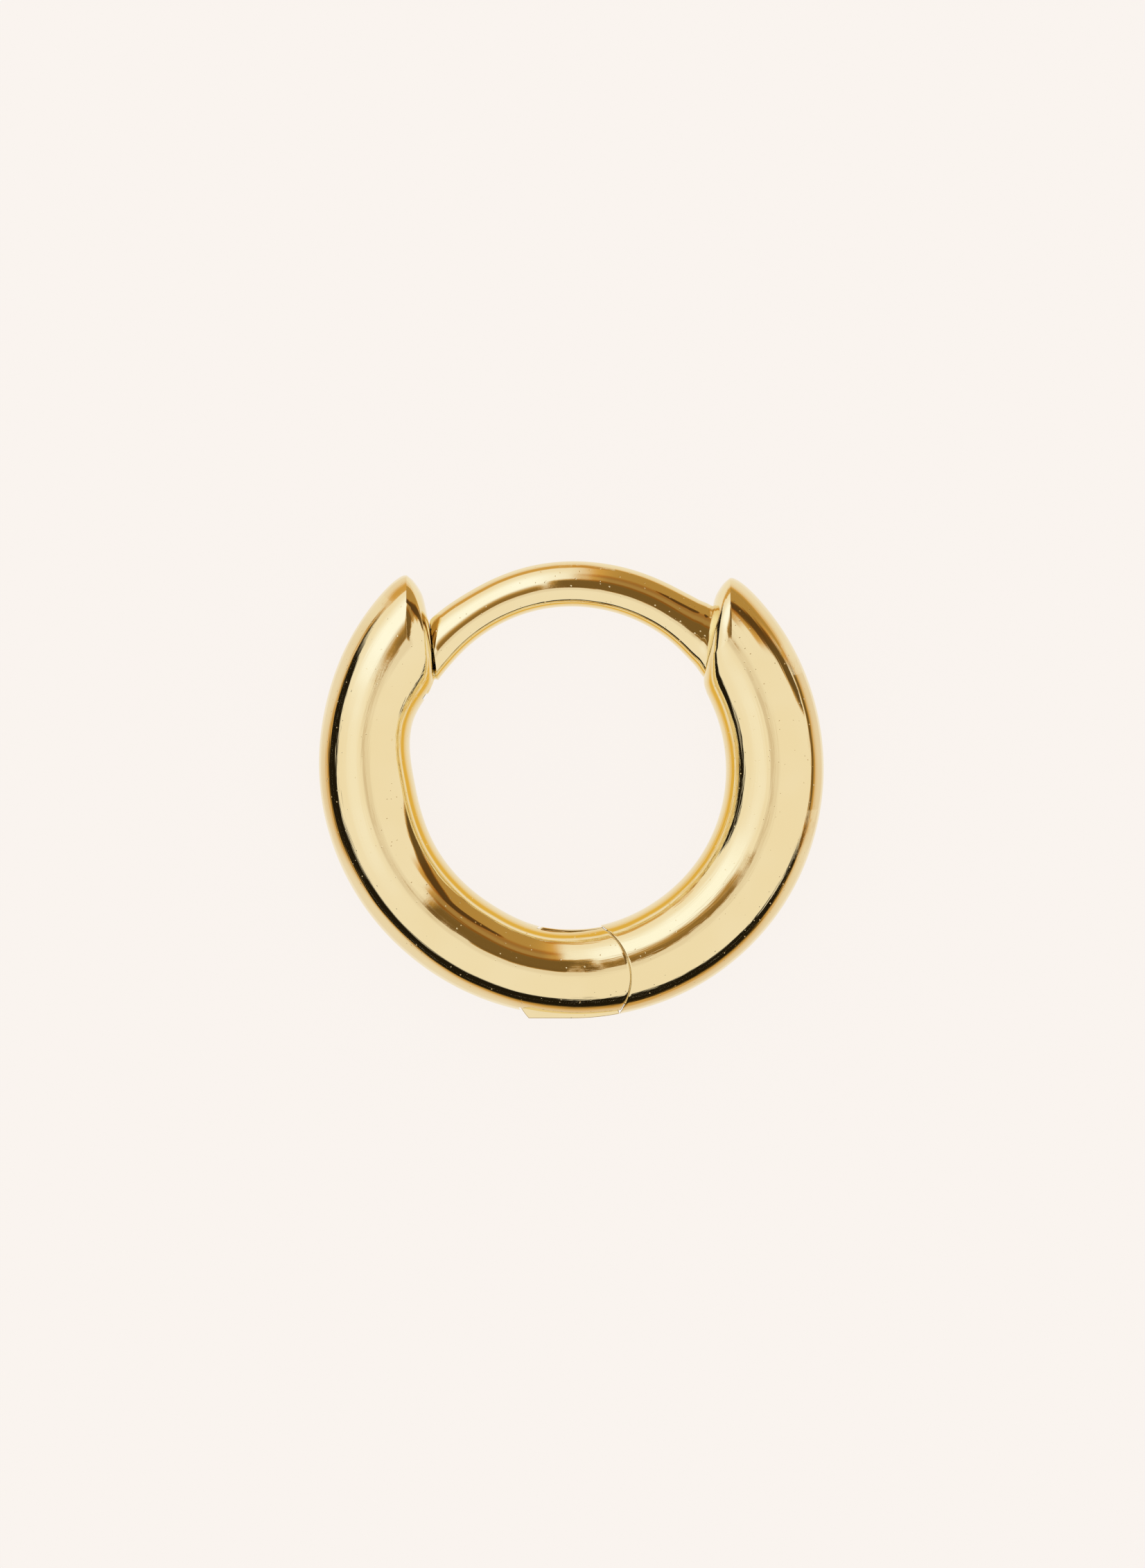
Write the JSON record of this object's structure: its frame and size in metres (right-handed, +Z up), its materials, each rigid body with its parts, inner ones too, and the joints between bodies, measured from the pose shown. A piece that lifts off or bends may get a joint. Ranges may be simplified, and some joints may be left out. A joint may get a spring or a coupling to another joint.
{
  "type": "hinged hoop earring",
  "caption": "Small round hoop earring of two thick half hoops on a hinge at the bottom, with a thin curved ear post across the top.",
  "frame": {"origin": "on the surface that the hoop lies on, below the middle of its outline's box", "axes": "+X towards the half that carries the ear post, +Y towards the ear post, +Z up, square to the hoop's plane"},
  "size_m": [0.012, 0.0108, 0.0022],
  "materials": {
    "plated_gold": "mirror-polished pale yellow gold plating",
    "pin_metal": "drawn, unplated"
  },
  "bodies": {
    "catch_side": {"catch_half": "plated_gold", "hinge_pin": "pin_metal"},
    "post_side": {"post_half": "plated_gold"}
  },
  "joints": [
    {"name": "hinge", "type": "hinge", "parent": "catch_side", "child": "post_side", "pos_m": [0, -0.00446, 0.0011], "axis": [0, 0, -1], "range_deg": [0, 60]}
  ]
}
